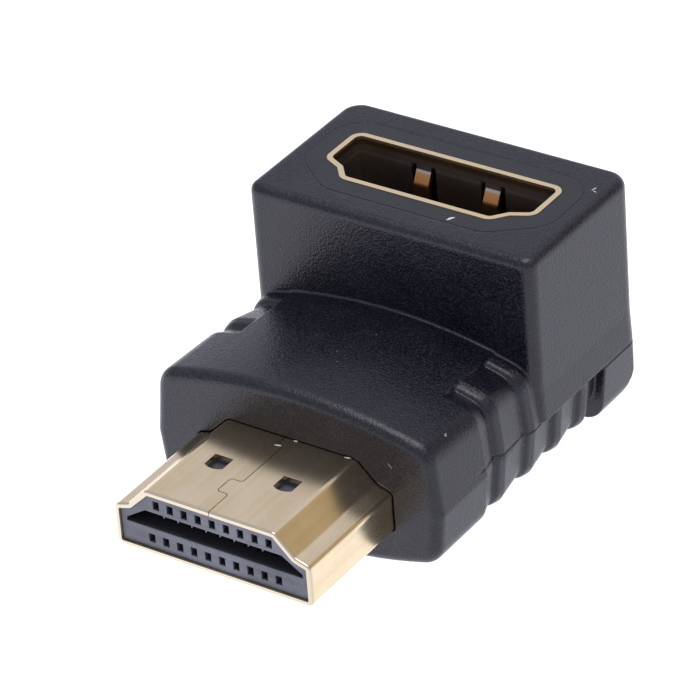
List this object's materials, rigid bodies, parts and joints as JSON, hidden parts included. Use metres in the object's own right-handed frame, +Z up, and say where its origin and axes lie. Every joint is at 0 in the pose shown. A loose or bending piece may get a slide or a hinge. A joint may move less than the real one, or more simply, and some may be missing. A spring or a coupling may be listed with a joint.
{
  "type": "right angle video adapter",
  "caption": "Right angle adapter with a flat D-shaped plug at the front and a matching socket facing up, joined by one ribbed moulded elbow.",
  "frame": {"origin": "middle of the adapter's width and length, level with the lowest line of its underside", "axes": "+X across the width, -Y the way the plug points, +Z up, the way the socket opens"},
  "size_m": [0.0206, 0.0316, 0.0165],
  "materials": {
    "overmould": "fine moulded grain, slightly bluish black",
    "inner_mould": "smooth black",
    "plug_shell": "bright pale gold plating",
    "socket_shell": "bright pale gold plating",
    "plug_insulator": "satin dark grey",
    "socket_insulator": "satin black",
    "board": "green resist",
    "contact_plating": "gold plating"
  },
  "bodies": {
    "root": {"circuit_board": "board", "inner_mould": "inner_mould", "overmould_body": "overmould", "plug_contact_lower_1": "contact_plating", "plug_contact_lower_10": "contact_plating", "plug_contact_lower_2": "contact_plating", "plug_contact_lower_3": "contact_plating", "plug_contact_lower_4": "contact_plating", "plug_contact_lower_5": "contact_plating", "plug_contact_lower_6": "contact_plating", "plug_contact_lower_7": "contact_plating", "plug_contact_lower_8": "contact_plating", "plug_contact_lower_9": "contact_plating", "plug_contact_upper_1": "contact_plating", "plug_contact_upper_2": "contact_plating", "plug_contact_upper_3": "contact_plating", "plug_contact_upper_4": "contact_plating", "plug_contact_upper_5": "contact_plating", "plug_contact_upper_6": "contact_plating", "plug_contact_upper_7": "contact_plating", "plug_contact_upper_8": "contact_plating", "plug_contact_upper_9": "contact_plating", "plug_housing": "plug_insulator", "plug_shell": "plug_shell", "socket_contact_front_1": "contact_plating", "socket_contact_front_2": "contact_plating", "socket_contact_front_3": "contact_plating", "socket_contact_front_4": "contact_plating", "socket_contact_front_5": "contact_plating", "socket_contact_front_6": "contact_plating", "socket_contact_front_7": "contact_plating", "socket_contact_front_8": "contact_plating", "socket_contact_front_9": "contact_plating", "socket_contact_rear_1": "contact_plating", "socket_contact_rear_10": "contact_plating", "socket_contact_rear_2": "contact_plating", "socket_contact_rear_3": "contact_plating", "socket_contact_rear_4": "contact_plating", "socket_contact_rear_5": "contact_plating", "socket_contact_rear_6": "contact_plating", "socket_contact_rear_7": "contact_plating", "socket_contact_rear_8": "contact_plating", "socket_contact_rear_9": "contact_plating", "socket_housing": "socket_insulator", "socket_shell": "socket_shell"}
  },
  "joints": []
}
